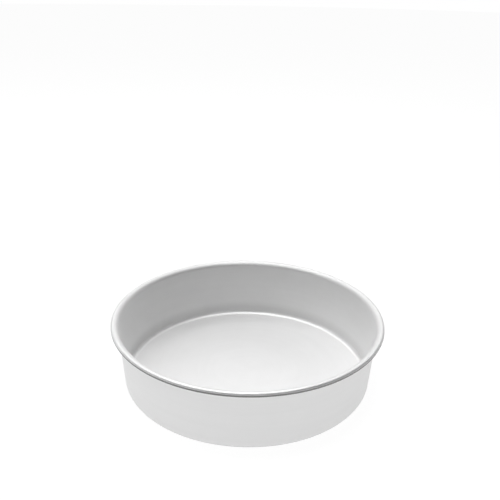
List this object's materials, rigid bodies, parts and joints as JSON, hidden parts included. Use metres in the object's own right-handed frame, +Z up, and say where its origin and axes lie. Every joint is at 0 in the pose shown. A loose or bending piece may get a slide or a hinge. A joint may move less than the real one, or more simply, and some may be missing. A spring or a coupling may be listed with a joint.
{
  "type": "round cake tin",
  "caption": "Shallow round cake tin in satin aluminium: flat floor, slightly leaning wall drawn from the same sheet, and a rim rolled outwards round a wire.",
  "frame": {"origin": "centre of the underside of the floor, where the tin stands", "axes": "+Z up through the mouth, along the axis of the round shell; X and Y are alike"},
  "size_m": [0.2158, 0.2158, 0.0522],
  "materials": {
    "aluminium_sheet": "satin anodised, with a faint spun grain",
    "steel_wire": "drawn galvanised wire"
  },
  "bodies": {
    "root": {"pan_body": "aluminium_sheet", "rim_wire": "steel_wire"}
  },
  "joints": []
}
